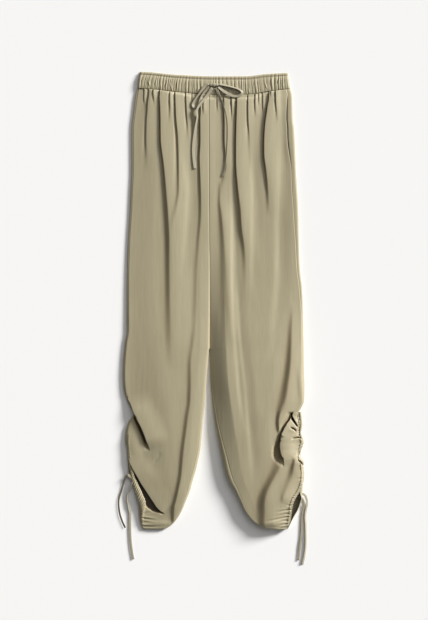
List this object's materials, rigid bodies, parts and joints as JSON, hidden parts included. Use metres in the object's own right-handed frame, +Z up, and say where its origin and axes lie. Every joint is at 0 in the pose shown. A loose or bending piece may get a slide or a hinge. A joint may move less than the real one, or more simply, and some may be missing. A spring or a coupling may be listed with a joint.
{
  "type": "parachute pants",
  "caption": "Wide satin trousers laid flat, with a gathered elastic waist, a tied drawstring and ruched, drawstring-gathered lower legs.",
  "frame": {"origin": "centre of the cloth's outline, on the surface it lies on", "axes": "+Z up from the surface, +Y from the hems to the waist, +X toward the wearer's left leg, which is the viewer's right"},
  "size_m": [0.427, 1.1073, 0.0165],
  "materials": {
    "satin": "soft sheen",
    "satin_inside": "matt",
    "satin_cord": "soft sheen"
  },
  "bodies": {
    "root": {"front_right_leg": "satin", "front_left_leg": "satin", "back_right_leg": "satin", "back_left_leg": "satin", "waistband_front": "satin", "waistband_back": "satin", "ruching_channel_right": "satin", "ruching_channel_left": "satin", "pocket_facing_left": "satin_inside", "waist_knot": "satin_cord", "waist_loop_right": "satin_cord", "waist_loop_left": "satin_cord", "waist_tail_right": "satin_cord", "waist_tail_left": "satin_cord", "ankle_cord_right_short": "satin_cord", "ankle_cord_right_long": "satin_cord", "ankle_cord_left_short": "satin_cord", "ankle_cord_left_long": "satin_cord"}
  },
  "joints": []
}
